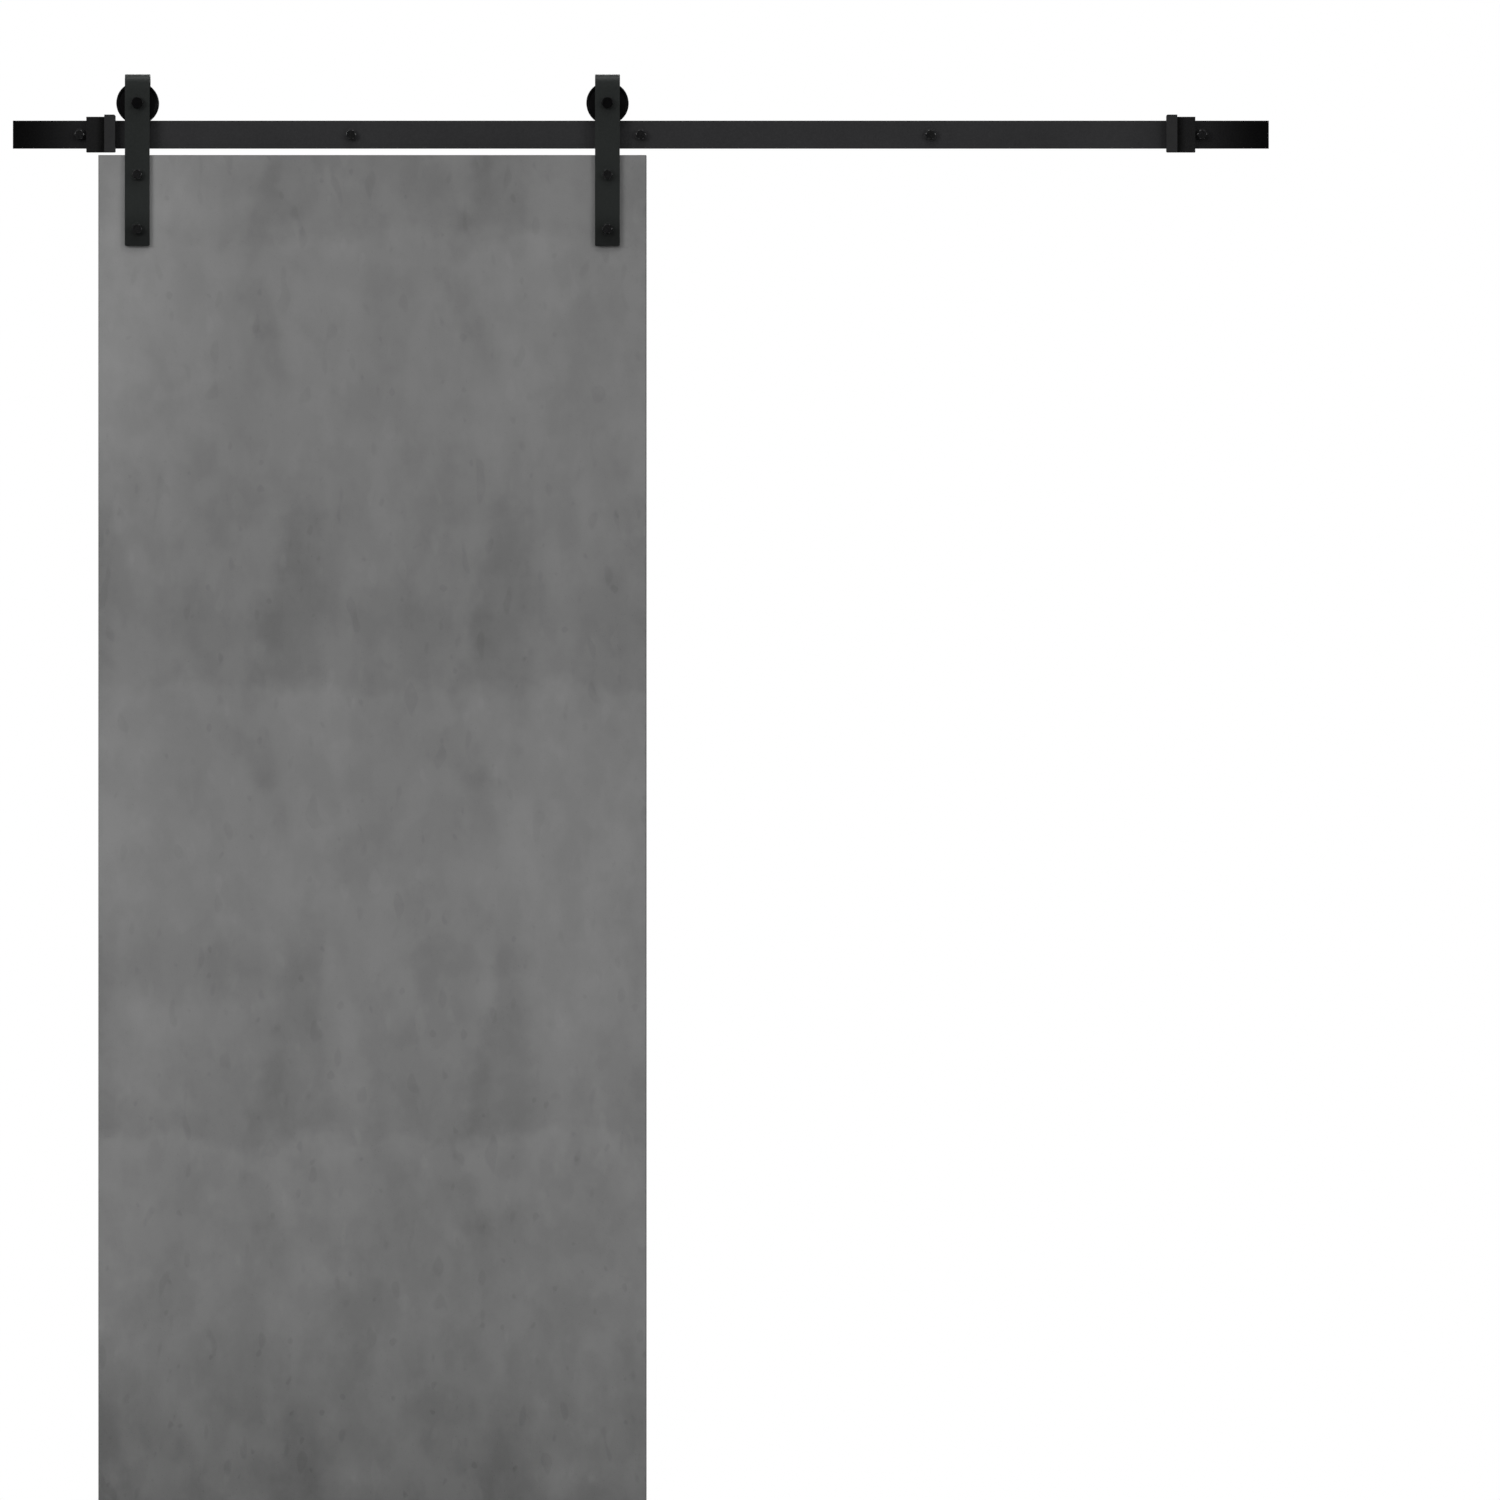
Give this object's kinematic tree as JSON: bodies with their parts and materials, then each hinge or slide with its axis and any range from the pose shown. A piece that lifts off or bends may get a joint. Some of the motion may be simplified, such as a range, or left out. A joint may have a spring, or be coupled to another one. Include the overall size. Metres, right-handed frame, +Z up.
{
  "type": "sliding barn door",
  "caption": "Flush sliding barn door slab hung by two J-strap hangers with grooved wheels on a flat wall-mounted rail with end stops.",
  "frame": {"origin": "on the wall plane, behind the middle bolt of the rail", "axes": "+X along the rail to the right as seen from the room, +Y into the wall, +Z up; the door faces -Y"},
  "size_m": [1.9812, 0.113, 2.2614],
  "materials": {
    "black_powder_coat": "satin",
    "black_fasteners": "satin",
    "bumper_rubber": "matte",
    "concrete_film": "matte",
    "edge_banding": "matte",
    "softwood": "matte",
    "paper_honeycomb": "matte",
    "zinc_steel": "satin",
    "bearing_steel": "polished",
    "shield_steel": "satin",
    "cage_nylon": "satin",
    "wheel_nylon": "satin"
  },
  "bodies": {
    "track": {"rail": "black_powder_coat", "rail_bolts": "black_fasteners", "rail_washers": "black_fasteners", "stop_screws": "black_fasteners", "rail_spacer_1": "black_powder_coat", "rail_spacer_2": "black_powder_coat", "rail_spacer_3": "black_powder_coat", "rail_spacer_4": "black_powder_coat", "rail_spacer_5": "black_powder_coat", "left_stop_clamp": "black_powder_coat", "left_stop_bumper": "bumper_rubber", "right_stop_clamp": "black_powder_coat", "right_stop_bumper": "bumper_rubber"},
    "door": {"front_skin": "concrete_film", "back_skin": "concrete_film", "top_frame_rail": "softwood", "bottom_frame_rail": "softwood", "honeycomb_core": "paper_honeycomb", "top_edge_band": "edge_banding", "bottom_edge_band": "edge_banding", "hanger_bolts": "black_fasteners", "hanger_washers": "black_fasteners", "hanger_nuts": "zinc_steel", "left_stile": "softwood", "left_edge_band": "edge_banding", "left_strap": "black_powder_coat", "left_axle": "black_fasteners", "left_axle_nut": "black_fasteners", "left_axle_rings": "zinc_steel", "left_bearing_inner": "bearing_steel", "right_stile": "softwood", "right_edge_band": "edge_banding", "right_strap": "black_powder_coat", "right_axle": "black_fasteners", "right_axle_nut": "black_fasteners", "right_axle_rings": "zinc_steel", "right_bearing_inner": "bearing_steel"},
    "left_wheel": {"left_wheel": "wheel_nylon", "left_bearing_outer": "bearing_steel", "left_bearing_shields": "shield_steel"},
    "right_wheel": {"right_wheel": "wheel_nylon", "right_bearing_outer": "bearing_steel", "right_bearing_shields": "shield_steel"},
    "left_cage": {"left_bearing_cage": "cage_nylon", "left_bearing_balls": "bearing_steel"},
    "right_cage": {"right_bearing_cage": "cage_nylon", "right_bearing_balls": "bearing_steel"}
  },
  "joints": [
    {"name": "door_slide", "type": "slide", "parent": "track", "child": "door", "axis": [1, 0, 0], "range_m": [-0.008, 0.8544]},
    {"name": "left_wheel_spin", "type": "hinge", "parent": "door", "child": "left_wheel", "pos_m": [-0.7938, -0.037, 0.0496], "axis": [0, 1, 0], "continuous": true},
    {"name": "right_wheel_spin", "type": "hinge", "parent": "door", "child": "right_wheel", "pos_m": [-0.0526, -0.037, 0.0496], "axis": [0, 1, 0], "continuous": true},
    {"name": "left_cage_spin", "type": "hinge", "parent": "door", "child": "left_cage", "pos_m": [-0.7938, -0.037, 0.0496], "axis": [0, 1, 0], "continuous": true},
    {"name": "right_cage_spin", "type": "hinge", "parent": "door", "child": "right_cage", "pos_m": [-0.0526, -0.037, 0.0496], "axis": [0, 1, 0], "continuous": true}
  ],
  "couplings": [
    {"joint": "left_wheel_spin", "follows": "door_slide", "rad_per_m": 36.496},
    {"joint": "right_wheel_spin", "follows": "door_slide", "rad_per_m": 36.496},
    {"joint": "left_cage_spin", "follows": "door_slide", "rad_per_m": 22.591},
    {"joint": "right_cage_spin", "follows": "door_slide", "rad_per_m": 22.591}
  ]
}
